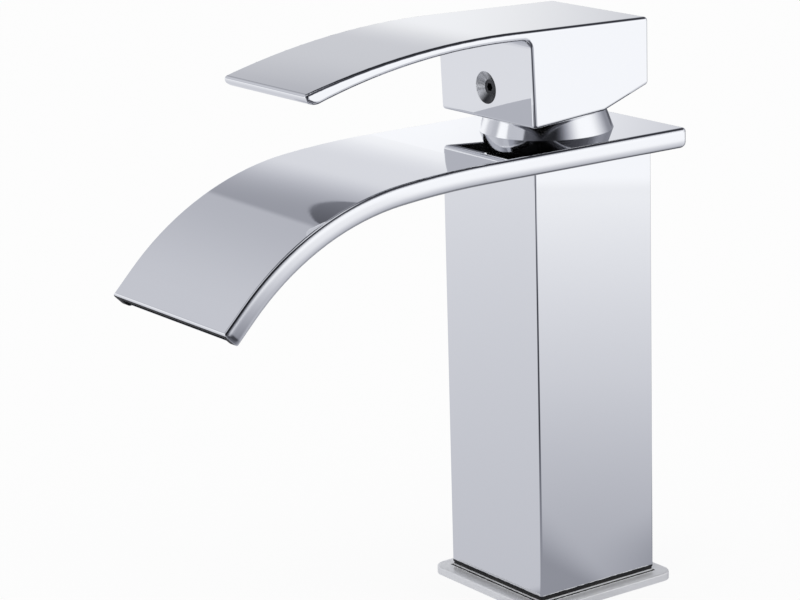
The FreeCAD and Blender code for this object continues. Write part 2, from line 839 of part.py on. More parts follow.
def make_rotor():
    """Turns in the housing with the handle. Its slot lets the stem tilt on the pin."""
    rotor = Piece("rotor")
    drawing = rotor.level(ROTOR_FOOT)
    draw_circle(drawing, 0, 0, ROTOR_RADIUS)
    rotor.raise_from(drawing, ROTOR_SHOULDER - ROTOR_FOOT)
    drawing = rotor.level(ROTOR_FOOT)
    draw_circle(drawing, 0, 0, d.turret_radius)
    rotor.raise_from(drawing, TURRET_TOP - ROTOR_FOOT)
    drawing = rotor.level(TURRET_TOP)
    half = STEM_HALF + d.slide_clearance
    draw_rectangle(drawing, -half, half, -d.rotor_slot_front, d.rotor_slot_back)
    rotor.cut_from(drawing, THROUGH)
    drawing = rotor.level(ROTOR_FOOT)
    half = d.tongue_width / 2 + d.slide_clearance
    draw_rectangle(drawing, -half, half, -ROTOR_RADIUS - PAST, ROTOR_RADIUS + PAST)
    rotor.cut_from(drawing, d.tongue_height + d.slide_clearance, forward=True)
    drawing = rotor.sketch("YZ_Plane", -ROTOR_RADIUS - PAST)
    draw_circle(drawing, 0, PIVOT, d.pin_radius + d.pin_press_clearance)
    rotor.cut_from(drawing, THROUGH, forward=True)
    seal_middle = ROTOR_FOOT + d.rotor_seal_height
    groove = rotor.level(seal_middle + d.rotor_seal_radius)
    draw_circle(groove, 0, 0, ROTOR_RADIUS + PAST)
    draw_circle(groove, 0, 0, ROTOR_RADIUS - d.rotor_seal_radius * 2)
    rotor.cut_from(groove, d.rotor_seal_radius * 2)


def make_ring(name, ring_radius, wire_radius, height):
    """A rubber ring of round section, lying flat about the axis."""
    ring = doc.addObject("Part::Torus", name)
    ring.Label = name
    bind(ring, "Radius1", ring_radius)
    bind(ring, "Radius2", wire_radius)
    bind(ring, "Placement.Base.z", height)
    pieces.append(ring)


def make_stem_pin():
    """The pin that the stem tilts on, pressed across the rotor."""
    pin = doc.addObject("Part::Cylinder", "stem_pin")
    pin.Label = "stem_pin"
    bind(pin, "Radius", d.pin_radius)
    bind(pin, "Height", d.pin_length)
    pin.Placement.Rotation = FreeCAD.Rotation(FreeCAD.Vector(0, 1, 0), 90)
    bind(pin, "Placement.Base.x", -d.pin_length / 2)
    bind(pin, "Placement.Base.z", PIVOT)
    pieces.append(pin)


def make_stem():
    """Square spindle: the handle sits on its top, and the ball at its foot moves the discs."""
    stem = Piece("stem")
    shank_top = BALL + d.stem_shank_length
    cone_top = shank_top + d.stem_cone_height
    drawing = stem.sketch("XZ_Plane")
    ball = d.stem_ball_radius
    shank = d.stem_shank_radius
    neck_angle = Length(
        math.degrees(math.asin(shank.value / ball.value)), f"asin({shank.text} / {ball.text})"
    )
    neck = BALL + ball * cosine(neck_angle)
    draw_outline(
        drawing,
        [(ZERO, BALL - ball), (ball, BALL), (shank, neck), (shank, shank_top),
         (STEM_HALF, cone_top), (ZERO, cone_top)],
        {0: (ball, -1), 1: (ball, -1)},
    )
    turned = stem.add("PartDesign::Revolution")
    turned.Profile = drawing
    turned.ReferenceAxis = (drawing, ["V_Axis"])
    turned.Angle = 360
    drawing = stem.level(cone_top)
    draw_rectangle(drawing, -STEM_HALF, STEM_HALF, -STEM_HALF, STEM_HALF)
    stem.raise_from(drawing, STEM_TOP - cone_top)
    drawing = stem.sketch("YZ_Plane", -STEM_HALF - PAST)
    draw_circle(drawing, 0, PIVOT, d.pin_radius + d.pin_running_clearance)
    stem.cut_from(drawing, THROUGH, forward=True)


def make_lock_nut():
    """Threaded ring that holds the cartridge down, with four notches for its wrench."""
    nut = Piece("cartridge_lock_nut")
    outer = d.nut_radius - d.screw_clearance
    nut.spin([
        (d.nut_inner_radius, HOUSING_TOP), (outer, HOUSING_TOP),
        (outer, NECK_TOP), (d.nut_inner_radius, NECK_TOP),
    ])
    drawing = nut.level(NECK_TOP)
    half = d.nut_notch_width / 2
    reach = d.nut_inner_radius + d.nut_notch_reach
    draw_rectangle(drawing, d.nut_inner_radius - PAST, reach, -half, half)
    notch = nut.cut_from(drawing, d.nut_notch_depth)
    before = nut.volume()
    pattern = nut.add("PartDesign::PolarPattern")
    pattern.Originals = [notch]
    pattern.Axis = (nut.origin("Z_Axis"), [""])
    pattern.Angle = 360
    pattern.Occurrences = 4
    nut.body.Tip = pattern
    check_change(nut, before, -1)


def make_collar():
    """Cone-shaped cover over the nut, open at the top for the stem."""
    collar = Piece("collar")
    crown = COLLAR_TOP - d.collar_crown
    step = NECK_TOP + d.collar_clearance
    inner = d.collar_top_radius - d.collar_wall
    collar.spin([
        (COLLAR_BORE, SPOUT_TOP), (d.collar_base_radius, SPOUT_TOP),
        (d.collar_top_radius, COLLAR_TOP), (d.collar_mouth_radius, COLLAR_TOP),
        (d.collar_mouth_radius, crown), (inner, crown), (inner, step), (COLLAR_BORE, step),
    ])
    collar.round_edges(d.collar_edge_radius, lambda edge: at_height(edge, COLLAR_TOP))


# ------------------------------------------------------------------ handle

def lever_points():
    """Corner points (y, z) of the handle's side view, from its back foot round to its tip."""
    rise = d.lever_top_angle
    steep = sine(rise) / cosine(rise)
    back_top = SPOUT_TOP + d.block_back_height
    bend = (-d.lever_bend_start, back_top + (d.block_back + d.lever_bend_start) * steep)
    radius = d.lever_top_radius
    slope = d.lever_tip_angle
    tip_top = (
        bend[0] - radius * sine(rise) - radius * sine(slope),
        bend[1] - radius * cosine(rise) + radius * cosine(slope),
    )
    nose = (
        tip_top[0] + d.lever_nose_height * sine(slope),
        tip_top[1] - d.lever_nose_height * cosine(slope),
    )
    tip_low = (
        tip_top[0] + d.lever_nose_length * cosine(slope) + d.lever_tip_thickness * sine(slope),
        tip_top[1] + d.lever_nose_length * sine(slope) - d.lever_tip_thickness * cosine(slope),
    )
    front_top = -d.block_front - d.block_front_lean
    root = (front_top, back_top - d.lever_root_thickness + (d.block_back - front_top) * steep)
    return {
        "back_low": (d.block_back, SPOUT_TOP + d.block_back_gap),
        "back_top": (d.block_back, back_top),
        "bend": bend,
        "tip_top": tip_top,
        "nose": nose,
        "tip_low": tip_low,
        "root": root,
        "front_low": (-d.block_front, SPOUT_TOP + d.block_front_gap),
        "mid_low": (d.block_mid, SPOUT_TOP + d.block_mid_gap),
    }


def make_handle():
    """Block and lever in one casting, hollow from below, with a socket for the stem inside."""
    handle = Piece("handle")
    points = lever_points()
    half = d.block_width / 2
    drawing = handle.sketch("YZ_Plane", -half)
    order = list(points)
    bends = {
        order.index("bend"): (d.lever_top_radius, -1),
        order.index("nose"): (d.lever_nose_radius, -1),
        order.index("tip_low"): (d.lever_under_radius, 1),
    }
    draw_outline(drawing, list(points.values()), bends)
    handle.raise_from(drawing, d.block_width)
    root_y = points["root"][0]
    tip_y = points["tip_top"][0]
    beyond = tip_y - PAST
    taper = (half - d.lever_tip_width / 2) / (root_y - tip_y)
    narrow = half - taper * (root_y - beyond)
    for side in (-1, 1):
        drawing = handle.level(points["bend"][1] + PAST)
        wide = half + PAST
        edge = [(half, root_y), (wide, root_y), (wide, beyond), (narrow, beyond)]
        draw_outline(drawing, [(x * side, y) for x, y in edge][::side])
        handle.cut_from(drawing, THROUGH)
    round_handle(handle, points, taper)
    hollow_handle(handle, points)


def round_handle(handle, points, taper):
    """Rounds the corner under the lever and the outer edges."""
    half = d.block_width.value / 2

    def across(edge, point):
        """True for an edge across the width at a point of the side view."""
        box = edge.BoundBox
        near = abs(box.YMin - point[0].value) + abs(box.ZMin - point[1].value) < NEAR
        return near and box.XLength > half and box.YLength + box.ZLength < NEAR

    handle.round_edges(d.lever_root_radius, lambda edge: across(edge, points["root"]))
    crisp = [points[name] for name in ("tip_top", "nose", "back_top", "back_low", "front_low")]

    def on_side(edge):
        """True for an edge that lies along one of the two side faces."""
        for parameter in (edge.FirstParameter, edge.LastParameter):
            place = edge.valueAt(parameter)
            ahead = max(0.0, points["root"][0].value - place.y)
            if abs(abs(place.x) - (half - taper.value * ahead)) > NEAR:
                return False
        middle = edge.valueAt((edge.FirstParameter + edge.LastParameter) / 2)
        return abs(middle.x) > half / 2 and not_junction(edge)

    def not_junction(edge):
        """Leaves out the line where the block's side meets the lever's side."""
        box = edge.BoundBox
        return box.XLength + box.YLength > NEAR or abs(box.YMin - points["root"][0].value) > NEAR

    handle.round_edges(
        d.handle_edge_radius,
        lambda edge: on_side(edge) or any(across(edge, point) for point in crisp),
    )


def hollow_handle(handle, points):
    """Cuts the hollow and puts the stem's socket and the screw's rib back into it."""
    half = d.block_width / 2 - d.block_wall
    roof = points["back_top"][1] - d.block_roof
    front = -d.block_front + d.block_wall
    back = d.block_back - d.block_wall
    drawing = handle.level(roof)
    draw_rounded(drawing, -half, half, front, back, d.block_wall)
    handle.cut_from(drawing, THROUGH)
    socket = STEM_HALF + d.socket_clearance
    boss = socket + d.boss_wall
    boss_foot = SPOUT_TOP + d.boss_gap
    drawing = handle.level(boss_foot)
    draw_rectangle(drawing, -boss, boss, -boss, boss)
    handle.raise_from(drawing, roof - boss_foot + PAST)
    rib_foot = SPOUT_TOP + d.rib_gap
    drawing = handle.level(rib_foot)
    rib = d.rib_width / 2
    draw_rectangle(drawing, -rib, rib, front - PAST, -socket)
    handle.raise_from(drawing, roof - rib_foot + PAST)
    drawing = handle.level(boss_foot)
    draw_rectangle(drawing, -socket, socket, -socket, socket)
    handle.cut_from(drawing, STEM_TOP + d.socket_clearance - boss_foot, forward=True)
    hole = d.screw_radius + d.screw_clearance
    ahead = d.block_front + d.block_front_lean + PAST
    drawing = handle.sketch("XZ_Plane", ahead)
    draw_circle(drawing, 0, SCREW_AXIS, hole)
    handle.cut_from(drawing, ahead - STEM_HALF)
    front_at_screw = block_front_at(SCREW_AXIS, points)
    flare = (d.recess_radius - hole) / d.recess_depth
    before = handle.volume()
    cone = handle.add("PartDesign::SubtractiveCone")
    cone.AttachmentSupport = [(handle.origin("XZ_Plane"), "")]
    cone.MapMode = "FlatFace"
    bind(cone, "AttachmentOffset.Base.y", SCREW_AXIS)
    bind(cone, "AttachmentOffset.Base.z", front_at_screw - d.recess_depth)
    bind(cone, "Radius1", hole)
    bind(cone, "Radius2", d.recess_radius + flare * PAST)
    bind(cone, "Height", d.recess_depth + PAST)
    check_change(handle, before, -1)


def block_front_at(height, points):
    """How far forward of the axis the block's leaning front is at a height."""
    low = points["front_low"]
    high = points["root"]
    share = (height - low[1]) / (high[1] - low[1])
    return d.block_front + (-high[0] - d.block_front) * share


def make_handle_screw():
    """Headless screw that bears on the stem, with a hexagonal socket in its outer end."""
    screw = Piece("handle_set_screw")
    drawing = screw.sketch("XZ_Plane", STEM_HALF)
    draw_circle(drawing, 0, SCREW_AXIS, d.screw_radius)
    screw.raise_from(drawing, d.screw_length)
    drawing = screw.sketch("XZ_Plane", STEM_HALF + d.screw_length)
    draw_hexagon(drawing, 0, SCREW_AXIS, d.screw_socket_flats)
    screw.cut_from(drawing, d.screw_socket_depth)


# ------------------------------------------------------------------ clamp under the deck

def make_studs():
    """Two threaded studs that pull the faucet down onto the deck."""
    studs = Piece("mounting_studs")
    drawing = studs.level(-d.stud_below_deck)
    draw_studs(drawing, d.stud_radius)
    studs.raise_from(drawing, d.stud_below_deck + SPIGOT_FOOT + d.stud_grip)


def make_horseshoe(name, foot, thickness):
    """A round washer with a slot from its front for the hoses and two holes for the studs."""
    washer = Piece(name)
    drawing = washer.level(foot)
    draw_circle(drawing, 0, 0, d.washer_radius)
    washer.raise_from(drawing, thickness)
    drawing = washer.level(foot)
    half = d.washer_slot_width / 2
    beyond = -d.washer_radius - d.washer_slot_corner_radius * 2
    draw_rounded(drawing, -half, half, beyond, d.washer_slot_end, d.washer_slot_corner_radius)
    draw_studs(drawing, d.stud_radius + d.washer_hole_clearance)
    washer.cut_from(drawing, thickness, forward=True)


def make_stud_nuts(top):
    nuts = Piece("stud_nuts")
    drawing = nuts.level(top - d.stud_nut_height)
    for side in (-1, 1):
        across = d.stud_spacing / 2 * side
        draw_hexagon(drawing, across, d.stud_back, d.stud_nut_flats)
        draw_circle(drawing, across, d.stud_back, d.stud_radius + d.stud_clearance)
    nuts.raise_from(drawing, d.stud_nut_height)


make_base_plate()
make_deck_gasket()
make_column_gasket()
make_column()
make_spout_shell()
make_spout_under_plate()
make_cartridge_base()
make_port_seals()
make_cartridge_housing()
make_fixed_disc()
make_moving_disc()
make_disc_carrier()
make_rotor()
make_ring(
    "rotor_seal", ROTOR_RADIUS - d.rotor_seal_radius, d.rotor_seal_radius,
    ROTOR_FOOT + d.rotor_seal_height,
)
make_stem_pin()
make_stem()
make_lock_nut()
make_ring("collar_ring", RING_CENTRE, d.collar_ring_radius, SPOUT_TOP + d.collar_ring_height)
make_collar()
make_handle()
make_handle_screw()
make_studs()
make_horseshoe("clamp_gasket", GASKET_FOOT, d.washer_gasket_thickness)
make_horseshoe("clamp_washer", WASHER_FOOT, d.washer_thickness)
make_stud_nuts(WASHER_FOOT)

doc.recompute()
for item in doc.Objects:
    if "Invalid" in item.State or "Error" in item.State:
        raise RuntimeError(f"{item.Label} did not build: {item.State}")
for item in pieces:
    if item.Shape.isNull() or not item.Shape.isValid():
        raise RuntimeError(f"{item.Label} has no valid shape")

os.makedirs("parts", exist_ok=True)
for item in pieces:
    item.Shape.exportStep(f"parts/{item.Label}.step")
    box = item.Shape.BoundBox
    print(
        f"{item.Label}: {len(item.Shape.Solids)} solid(s), {item.Shape.Volume:.1f} mm3, "
        f"x {box.XMin:.2f}..{box.XMax:.2f} y {box.YMin:.2f}..{box.YMax:.2f} "
        f"z {box.ZMin:.2f}..{box.ZMax:.2f}"
    )
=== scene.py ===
import json
import math

import bpy
from mathutils import Matrix, Vector


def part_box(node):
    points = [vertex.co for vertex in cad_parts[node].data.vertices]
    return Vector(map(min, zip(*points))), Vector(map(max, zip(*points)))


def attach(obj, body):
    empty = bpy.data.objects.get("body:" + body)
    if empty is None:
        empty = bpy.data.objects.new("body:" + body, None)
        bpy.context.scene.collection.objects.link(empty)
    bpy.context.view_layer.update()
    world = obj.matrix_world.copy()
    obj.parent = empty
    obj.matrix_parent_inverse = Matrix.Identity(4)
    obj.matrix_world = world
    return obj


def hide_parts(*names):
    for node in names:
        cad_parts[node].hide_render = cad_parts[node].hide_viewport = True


# A waterfall basin faucet in mirror chrome, in a light tent: the frame's nodes get their
# materials, the threads and nuts under the deck get their real shape, and the floor and the
# world are what the chrome mirrors. Metres, in the frame's own axes.

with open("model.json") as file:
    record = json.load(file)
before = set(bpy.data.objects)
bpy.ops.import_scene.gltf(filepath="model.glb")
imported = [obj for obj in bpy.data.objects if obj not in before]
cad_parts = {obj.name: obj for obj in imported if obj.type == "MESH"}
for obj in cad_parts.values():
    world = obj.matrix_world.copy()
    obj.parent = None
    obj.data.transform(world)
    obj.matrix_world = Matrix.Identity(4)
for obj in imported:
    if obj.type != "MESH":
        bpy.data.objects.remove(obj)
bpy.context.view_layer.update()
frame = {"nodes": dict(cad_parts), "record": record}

MM = 0.001
DEGREES = 180 / math.pi
ROOT = "faucet_body"

# Sizes of the handle's hollow and of the spout's channel, for the surfaces inside them
HOLLOW_HALF = 21.3 * MM
HOLLOW_FRONT = -20.9 * MM
HOLLOW_BACK = 20.1 * MM
HOLLOW_ROOF = 185.7 * MM
CHANNEL_HALF = 29.0 * MM

# The screw's dish and the front of the handle's block, the start of the rim round the spout's
# slot, the top of the painted shade line at the column's foot, and the raised pad on the
# base plate
DISH_HEIGHT = 169.7 * MM
DISH_RADIUS = 5.2 * MM
BLOCK_FRONT = -22.0 * MM
SPOUT_TIP = -138.0 * MM
COLUMN_LINE = 4.8 * MM
PAD_HALF = 24.1 * MM
PAD_FOOT = 2.75 * MM

# Studs and nuts under the deck: the thread's pitch and depth, the studs' spacing, how far they
# stand behind the column's axis, their radius, and the nuts' width across flats
PITCH = 1.0 * MM
TOOTH = 0.55 * MM
STUD_SPACING = 21.0 * MM
STUD_BACK = 8.0 * MM
STUD_RADIUS = 3.0 * MM
NUT_FLATS = 10.0 * MM

# How finely they are drawn: rings to a pitch, and points to a ring
ROWS_PER_PITCH = 6
STUD_POINTS = 30
NUT_POINTS = 72


# ------------------------------------------------------------------ node helpers

class Tree:
    """A node tree, with short calls that add a node, set its inputs and return its output."""

    def __init__(self, owner):
        owner.use_nodes = True
        self.tree = owner.node_tree
        self.tree.nodes.clear()

    def node(self, kind, inputs=None, **settings):
        """Adds a node. inputs maps socket names or numbers to values or to other outputs."""
        node = self.tree.nodes.new(kind)
        for name, value in settings.items():
            setattr(node, name, value)
        for socket, value in (inputs or {}).items():
            if isinstance(value, bpy.types.NodeSocket):
                self.tree.links.new(value, node.inputs[socket])
            else:
                node.inputs[socket].default_value = value
        return node

    def maths(self, operation, first, second=0.0):
        return self.node("ShaderNodeMath", {0: first, 1: second}, operation=operation).outputs[0]

    def product(self, *factors):
        result = factors[0]
        for factor in factors[1:]:
            result = self.maths("MULTIPLY", result, factor)
        return result

    def highest(self, *values):
        result = values[0]
        for value in values[1:]:
            result = self.maths("MAXIMUM", result, value)
        return result

    def radius(self, first, second):
        """The distance from the origin to the point (first, second)."""
        squares = self.maths("ADD", self.product(first, first), self.product(second, second))
        return self.maths("POWER", squares, 0.5)

    def step(self, value, low, high, start=0.0, end=1.0, smooth=True):
        """Goes from start to end while value goes from low to high."""
        inputs = {0: value, 1: low, 2: high, 3: start, 4: end}
        curve = "SMOOTHSTEP" if smooth else "LINEAR"
        return self.node("ShaderNodeMapRange", inputs, interpolation_type=curve).outputs[0]

    def between(self, share, first, second):
        """A number between two numbers."""
        return self.node("ShaderNodeMix", {0: share, 2: first, 3: second}).outputs[0]

    def blend(self, share, first, second):
        """A colour between two colours."""
        inputs = {0: share, 6: first, 7: second}
        return self.node("ShaderNodeMix", inputs, data_type="RGBA").outputs[2]

    def mix(self, share, first, second):
        """A surface between two surfaces."""
        return self.node("ShaderNodeMixShader", {0: share, 1: first, 2: second}).outputs[0]

    def split(self, vector):
        return self.node("ShaderNodeSeparateXYZ", {0: vector}).outputs

    def place(self):
        return self.node("ShaderNodeTexCoord").outputs["Object"]

    def normal(self):
        return self.node("ShaderNodeTexCoord").outputs["Normal"]

    def noise(self, place, scale, detail=2.0, stretch=(1, 1, 1)):
        """Soft random values from 0 to 1; stretch scales the place first."""
        if stretch != (1, 1, 1):
            scaled = self.node("ShaderNodeVectorMath", {0: place, 1: stretch}, operation="MULTIPLY")
            place = scaled.outputs[0]
        inputs = {"Vector": place, "Scale": scale, "Detail": detail}
        return self.node("ShaderNodeTexNoise", inputs).outputs[0]

    def bump(self, height, depth, normal=None):
        inputs = {"Height": height, "Distance": depth, "Strength": 1.0}
        if normal is not None:
            inputs["Normal"] = normal
        return self.node("ShaderNodeBump", inputs).outputs[0]

    def edges(self, radius):
        """1 on edges sharper than the radius and 0 on smooth faces. It measures how far a bevel
        of that radius would turn the surface."""
        rounded = self.node("ShaderNodeBevel", {"Radius": radius}, samples=4).outputs[0]
        plain = self.node("ShaderNodeNewGeometry").outputs["Normal"]
        alike = self.node("ShaderNodeVectorMath", {0: rounded, 1: plain}, operation="DOT_PRODUCT")
        smooth, sharp = 0.995, 0.88
        return self.step(alike.outputs["Value"], smooth, sharp)

    def principled(self, **inputs):
        sockets = {name.replace("_", " "): value for name, value in inputs.items()}
        return self.node("ShaderNodeBsdfPrincipled", sockets).outputs[0]

    def finish(self, surface, kind="ShaderNodeOutputMaterial"):
        self.node(kind, {"Surface": surface})


def colour(red, green, blue):
    return (red, green, blue, 1.0)


def brighter(shade, factor):
    return colour(*[min(1.0, part * factor) for part in shade[:3]])


def new_material(name):
    material = bpy.data.materials.new(name)
    return material, Tree(material)


# ------------------------------------------------------------------ materials

CHROME = colour(0.88, 0.885, 0.90)
# A darker chrome for sharp edges: painted shade
CHROME_SHADED_EDGE = colour(0.80, 0.81, 0.83)
SIDE_ROUND = 2.6 * MM


def chrome_shader(t, place, painted_shade_scale=1.0, dull=0.0, metal=1.0, round_sides=False):
    """Polished plate: a mirror with faint waves from the buffing wheel, and rougher sharp edges
    with painted shade. The darkening factor paints shade over it, dull adds roughness, metal
    below 1 makes it paler and flatter, and round_sides softens the edges of side faces."""
    waves = t.noise(place, 28.0, 1.5)
    hairlines = t.noise(place, 900.0, 2.0, stretch=(1.0, 1.0, 0.08))
    smears = t.noise(place, 60.0, 4.0)
    # Sharp edges get more roughness and painted shade
    edge_wear_and_shade = t.edges(0.35 * MM)
    base = t.blend(edge_wear_and_shade, CHROME, CHROME_SHADED_EDGE)
    # The darkening factor paints shade over the whole chrome
    base = t.node("ShaderNodeVectorMath", {0: base, 3: painted_shade_scale}, operation="SCALE").outputs[0]
    rough = t.step(smears, 0.35, 0.75, 0.012 + dull, 0.035 + dull)
    rough = t.maths("ADD", rough, t.product(edge_wear_and_shade, 0.05))
    normal = t.bump(waves, 0.012 * MM)
    normal = t.bump(hairlines, 0.0004 * MM, normal)
    if round_sides:
        rounded = t.node("ShaderNodeBevel", {"Radius": SIDE_ROUND}, samples=16).outputs[0]
        sideways = t.split(t.normal())[0]
        side = t.maths("GREATER_THAN", t.maths("ABSOLUTE", sideways), 0.9)
        inputs = {0: side, 4: normal, 5: rounded}
        normal = t.node("ShaderNodeMix", inputs, data_type="VECTOR").outputs[1]
    return t.principled(Base_Color=base, Metallic=metal, Roughness=rough, Normal=normal)


def painted_shade_shader(t, place):
    """Near-black painted shade with a rough cast grain, as inside a hollow part and in dark
    corners.
    """
    grain = t.noise(place, 1400.0, 3.0)
    stain = t.noise(place, 90.0, 3.0)
    base = t.blend(stain, colour(0.018, 0.018, 0.020), colour(0.040, 0.040, 0.044))
    rough = t.step(grain, 0.3, 0.7, 0.55, 0.75)
    return t.principled(
        Base_Color=base, Metallic=0.6, Roughness=rough, Normal=t.bump(grain, 0.05 * MM)
    )


def make_chrome(name="mirror_chrome", dull=0.0):
    material, t = new_material(name)
    t.finish(chrome_shader(t, t.place(), dull=dull))
    return material


def make_column_chrome():
    """Chrome that ends in a dark line of painted shade at the column's foot."""
    material, t = new_material("column_chrome")
    place = t.place()
    edge = t.step(t.noise(place, 500.0, 3.0), 0.3, 0.7, COLUMN_LINE - 0.15 * MM, COLUMN_LINE)
    shaded_foot = t.maths("LESS_THAN", t.split(place)[2], edge)
    # Below the line the column is near-black painted shade
    t.finish(t.mix(shaded_foot, chrome_shader(t, place), painted_shade_shader(t, place)))
    return material


def inside_box(t, place, low, high):
    """1 inside a box and 0 outside it."""
    result = None
    for axis, value in zip(range(3), t.split(place)):
        for test, limit in (("GREATER_THAN", low[axis]), ("LESS_THAN", high[axis])):
            answer = t.maths(test, value, limit)
            result = answer if result is None else t.product(result, answer)
    return result


def in_dish(t, x, y, rise, up):
    """1 on the screw's dish: close to its axis and to the block's front, and not on a level
    face."""
    return t.product(
        t.maths("LESS_THAN", t.radius(x, rise), DISH_RADIUS),
        t.maths("GREATER_THAN", y, BLOCK_FRONT - 3.0 * MM),
        t.maths("LESS_THAN", y, BLOCK_FRONT + 1.5 * MM),
        t.maths("LESS_THAN", t.maths("ABSOLUTE", up), 0.999),
    )


def dish_shader(t, place, x, rise):
    """The turned dish round the set screw: satin metal with a painted highlight on its left and
    painted shade down its right-hand side.
    """
    rings = t.noise(place, 2400.0, 2.0)
    across = t.maths("SUBTRACT", x, t.product(rise, 0.5))
    # Painted light across the dish: a painted highlight on the left, painted shade on the right
    shade = t.step(across, -3.2 * MM, 1.0 * MM)
    base = t.blend(shade, colour(0.86, 0.87, 0.89), colour(0.03, 0.03, 0.035))
    rough = t.step(rings, 0.3, 0.7, 0.20, 0.26)
    return t.principled(
        Base_Color=base, Metallic=0.6, Roughness=rough, Normal=t.bump(rings, 0.0006 * MM)
    )


def make_handle_chrome():
    """Chrome outside with painted shade on top, satin metal with a painted highlight and painted
    shade in the screw's dish, and near-black painted shade in the hollow under the block."""
    material, t = new_material("handle_chrome")
    place = t.place()
    low = (-HOLLOW_HALF, HOLLOW_FRONT, 0.0)
    high = (HOLLOW_HALF, HOLLOW_BACK, HOLLOW_ROOF)
    hollow = inside_box(t, place, low, high)
    up = t.split(t.normal())[2]
    x, y, z = t.split(place)
    rise = t.maths("SUBTRACT", z, DISH_HEIGHT)
    # Faces that look up get painted shade
    outside = chrome_shader(t, place, painted_shade_scale=t.step(up, 0.6, 0.9, 1.0, 0.80))
    outside = t.mix(in_dish(t, x, y, rise, up), outside, dish_shader(t, place, x, rise))
    # The hollow under the block is near-black painted shade
    t.finish(t.mix(hollow, outside, painted_shade_shader(t, place)))
    return material


def make_channel_chrome():
    """Chrome outside, with painted shade on faces that look down, and near-black painted shade on
    the walls and the ceiling of the water channel and on the rim of its slot."""
    material, t = new_material("channel_chrome")
    place = t.place()
    x, y, _ = t.split(place)
    sideways, rearwards, up = t.split(t.normal())
    lean = 0.3
    within = t.maths("LESS_THAN", t.maths("ABSOLUTE", x), CHANNEL_HALF)
    inward = t.maths("LESS_THAN", t.product(x, sideways), -lean * CHANNEL_HALF)
    down = t.maths("LESS_THAN", up, -lean)
    not_ahead = t.maths("GREATER_THAN", rearwards, -lean)
    channel = t.product(within, t.highest(inward, t.product(down, not_ahead)))
    ahead = t.maths("LESS_THAN", rearwards, -lean)
    rim = t.product(t.maths("LESS_THAN", y, SPOUT_TIP), ahead, down)
    # Faces that look down get painted shade
    painted_shade_scale = t.step(up, -0.9, -lean, 0.25, 1.0)
    outside = chrome_shader(t, place, painted_shade_scale=painted_shade_scale, round_sides=True)
    # The channel and the slot's rim are near-black painted shade
    t.finish(t.mix(t.highest(channel, rim), outside, painted_shade_shader(t, place)))
    return material


def make_plate_chrome():
    """Pale satin chrome, with a dark line of painted shade in the corner round the raised pad."""
    material, t = new_material("plate_chrome")
    place = t.place()
    x, y, z = t.split(place)
    reach = t.highest(t.maths("ABSOLUTE", x), t.maths("ABSOLUTE", y))
    from_pad = t.maths("ABSOLUTE", t.maths("SUBTRACT", reach, PAD_HALF))
    spots = t.noise(place, 500.0, 3.0)
    width = t.step(spots, 0.3, 0.7, 0.30 * MM, 0.50 * MM)
    # The line in the corner round the pad is painted shade
    shaded_corner = t.maths("LESS_THAN", from_pad, width)
    low = t.maths("LESS_THAN", z, PAD_FOOT)
    outside = chrome_shader(t, place, dull=0.30, metal=0.45)
    t.finish(t.mix(t.product(shaded_corner, low), outside, painted_shade_shader(t, place)))
    return material


def make_turned(name, low, high, ring_scale, roughness, axis_x=0.0, axis_y=0.0):
    """Machined metal: fine rings about an upright axis, stains, and bright worn edges."""
    material, t = new_material(name)
    place = t.place()
    x, y, z = t.split(place)
    across = t.maths("SUBTRACT", t.maths("ABSOLUTE", x), axis_x)
    along = t.maths("SUBTRACT", y, axis_y)
    radius = t.radius(across, along)
    profile = t.node("ShaderNodeCombineXYZ", {0: radius, 1: z, 2: 0.0}).outputs[0]
    rings = t.noise(profile, ring_scale, 3.0)
    stains = t.noise(place, 180.0, 4.0)
    edge_wear_and_shade = t.edges(0.25 * MM)
    base = t.blend(t.step(stains, 0.3, 0.7), low, high)
    base = t.blend(t.product(edge_wear_and_shade, 0.6), base, brighter(high, 1.25))
    rough = t.step(rings, 0.3, 0.7, roughness - 0.08, roughness + 0.10)
    normal = t.bump(rings, 0.006 * MM)
    t.finish(t.principled(Base_Color=base, Metallic=1.0, Roughness=rough, Normal=normal))
    return material


def make_rubber():
    """Black rubber with a fine grain and a pale bloom in patches."""
    material, t = new_material("black_rubber")
    place = t.place()
    bloom = t.noise(place, 140.0, 4.0)
    grain = t.noise(place, 2200.0, 2.0)
    black = colour(0.012, 0.012, 0.013)
    base = t.blend(t.step(bloom, 0.4, 0.8), black, colour(0.040, 0.039, 0.037))
    rough = t.step(bloom, 0.3, 0.7, 0.62, 0.80)
    t.finish(t.principled(Base_Color=base, Roughness=rough, Normal=t.bump(grain, 0.02 * MM)))
    return material


def make_ceramic():
    """Lapped alumina: almost white, with the fine cloudiness of a ground face."""
    material, t = new_material("alumina")
    place = t.place()
    cloud = t.noise(place, 220.0, 4.0)
    grind = t.noise(place, 1500.0, 2.0, stretch=(1.0, 0.05, 1.0))
    base = t.blend(cloud, colour(0.80, 0.80, 0.76), colour(0.88, 0.88, 0.85))
    rough = t.step(grind, 0.3, 0.7, 0.14, 0.26)
    t.finish(t.principled(Base_Color=base, Roughness=rough, Normal=t.bump(grind, 0.001 * MM)))
    return material


def make_plastic(name, low, high):
    """Moulded plastic: a fine spark-eroded grain, faint flow marks and scuffed edges."""
    material, t = new_material(name)
    place = t.place()
    flow = t.noise(place, 45.0, 3.0, stretch=(1.0, 1.0, 0.4))
    grain = t.noise(place, 1800.0, 2.0)
    edge_wear_and_shade = t.edges(0.25 * MM)
    base = t.blend(flow, low, high)
    base = t.blend(t.product(edge_wear_and_shade, 0.5), base, brighter(high, 1.2))
    rough = t.step(grain, 0.3, 0.7, 0.42, 0.56)
    t.finish(t.principled(Base_Color=base, Roughness=rough, Normal=t.bump(grain, 0.015 * MM)))
    return material


